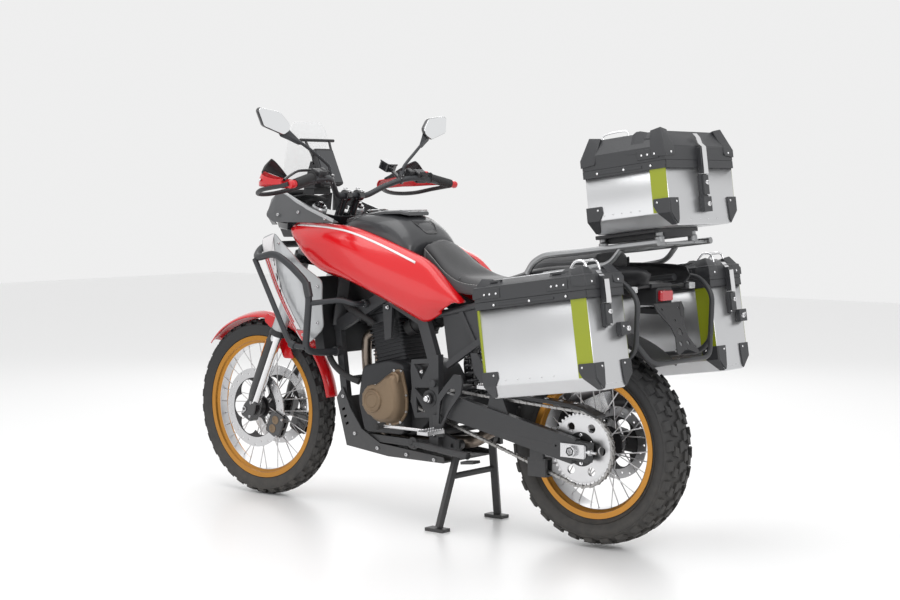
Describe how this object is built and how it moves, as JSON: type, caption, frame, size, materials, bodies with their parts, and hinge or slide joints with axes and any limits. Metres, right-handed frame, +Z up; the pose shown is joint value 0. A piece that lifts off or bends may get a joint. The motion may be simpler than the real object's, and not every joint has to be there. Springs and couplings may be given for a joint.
{
  "type": "adventure motorcycle",
  "caption": "Touring and trail motorcycle with crash bars, wire-spoked wheels and hard aluminium cases, parked on its centre stand; wheels, steering, stands and case lids move.",
  "frame": {"origin": "on the floor, at the middle of the machine's length and width", "axes": "+X forward, +Y the rider's left, +Z up"},
  "size_m": [2.3487, 1.032, 1.4977],
  "materials": {
    "frame_paint": "satin dark grey powder coat",
    "bar_paint": "satin dark grey powder coat",
    "engine_black": "matte black casting",
    "engine_bronze": "satin bronze casting",
    "skid_metal": "satin sheet",
    "exhaust_steel": "heat tinted steel",
    "tank_black": "satin black",
    "red_paint": "gloss red",
    "fairing_grey": "moulded dark grey",
    "shroud_silver": "silver grey lacquer",
    "lamp_dark": "dark lens",
    "clear_screen": "clear polycarbonate",
    "black_plastic": "moulded black",
    "seat_cover": "grained seat cover",
    "red_lens": "red lens",
    "rack_silver": "satin tube",
    "axle_steel": "turned steel",
    "chain_steel": "oiled steel",
    "spring_paint": "gloss spring paint",
    "peg_metal": "satin black",
    "case_aluminium": "brushed sheet",
    "lid_black": "black corners on brushed sheet",
    "fork_silver": "anodised tube",
    "caliper_black": "satin black casting",
    "bar_black": "satin black",
    "tyre_rubber": "tread rubber",
    "rim_gold": "gold anodised rim",
    "disc_steel": "ground steel"
  },
  "bodies": {
    "chassis": {"main_frame": "frame_paint", "subframe": "frame_paint", "engine": "engine_black", "engine_covers": "engine_bronze", "radiator": "engine_black", "skid_plate": "skid_metal", "crash_bars": "bar_paint", "exhaust": "exhaust_steel", "fuel_tank": "tank_black", "side_panels": "red_paint", "front_fairing": "fairing_grey", "radiator_shrouds": "shroud_silver", "headlight": "lamp_dark", "windscreen": "clear_screen", "dash": "black_plastic", "rider_seat": "seat_cover", "pillion_seat": "seat_cover", "tail_fairing": "black_plastic", "tail_light": "red_lens", "luggage_rack": "rack_silver", "pannier_rack": "frame_paint", "swingarm": "frame_paint", "rear_axle": "axle_steel", "chain": "chain_steel", "rear_shock": "spring_paint", "foot_pegs": "peg_metal", "left_pannier": "case_aluminium", "right_pannier": "case_aluminium", "top_case": "case_aluminium"},
    "steering": {"fork": "fork_silver", "front_axle": "axle_steel", "front_fender": "red_paint", "front_calipers": "caliper_black", "handlebar": "bar_black", "hand_guards": "red_paint", "mirrors": "bar_black"},
    "front_wheel": {"front_tyre": "tyre_rubber", "front_wheel": "rim_gold", "front_discs": "disc_steel"},
    "rear_wheel": {"rear_tyre": "tyre_rubber", "rear_wheel": "rim_gold", "rear_disc": "disc_steel", "sprocket": "axle_steel"},
    "centre_stand": {"centre_stand": "frame_paint"},
    "side_stand": {"side_stand": "frame_paint"},
    "left_pannier_lid": {"left_pannier_lid": "lid_black"},
    "right_pannier_lid": {"right_pannier_lid": "lid_black"},
    "top_case_lid": {"top_case_lid": "lid_black"}
  },
  "joints": [
    {"name": "steering", "type": "hinge", "parent": "chassis", "child": "steering", "pos_m": [0.45663, 0, 1.0205], "axis": [-0.4226, 0, 0.9063], "range_deg": [-34, 34]},
    {"name": "front_wheel_spin", "type": "hinge", "parent": "steering", "child": "front_wheel", "pos_m": [0.8275, 0, 0.3475], "axis": [0, 1, 0], "continuous": true},
    {"name": "rear_wheel_spin", "type": "hinge", "parent": "chassis", "child": "rear_wheel", "pos_m": [-0.7725, 0, 0.3415], "axis": [0, 1, 0], "continuous": true},
    {"name": "centre_stand_fold", "type": "hinge", "parent": "chassis", "child": "centre_stand", "pos_m": [-0.232, 0, 0.304], "axis": [0, 1, 0], "range_deg": [0, 93]},
    {"name": "side_stand_swing", "type": "hinge", "parent": "chassis", "child": "side_stand", "pos_m": [-0.092, 0.162, 0.298], "axis": [-0.0436, -0.9355, -0.3507], "range_deg": [0, 105]},
    {"name": "left_lid_hinge", "type": "hinge", "parent": "chassis", "child": "left_pannier_lid", "pos_m": [-0.59237, 0.364, 0.83966], "axis": [0, 1, 0], "range_deg": [0, 90]},
    {"name": "right_lid_hinge", "type": "hinge", "parent": "chassis", "child": "right_pannier_lid", "pos_m": [-0.59237, -0.364, 0.83966], "axis": [0, 1, 0], "range_deg": [0, 90]},
    {"name": "top_lid_hinge", "type": "hinge", "parent": "chassis", "child": "top_case_lid", "pos_m": [-0.82982, 0, 1.26236], "axis": [0, 1, 0], "range_deg": [0, 90]}
  ]
}
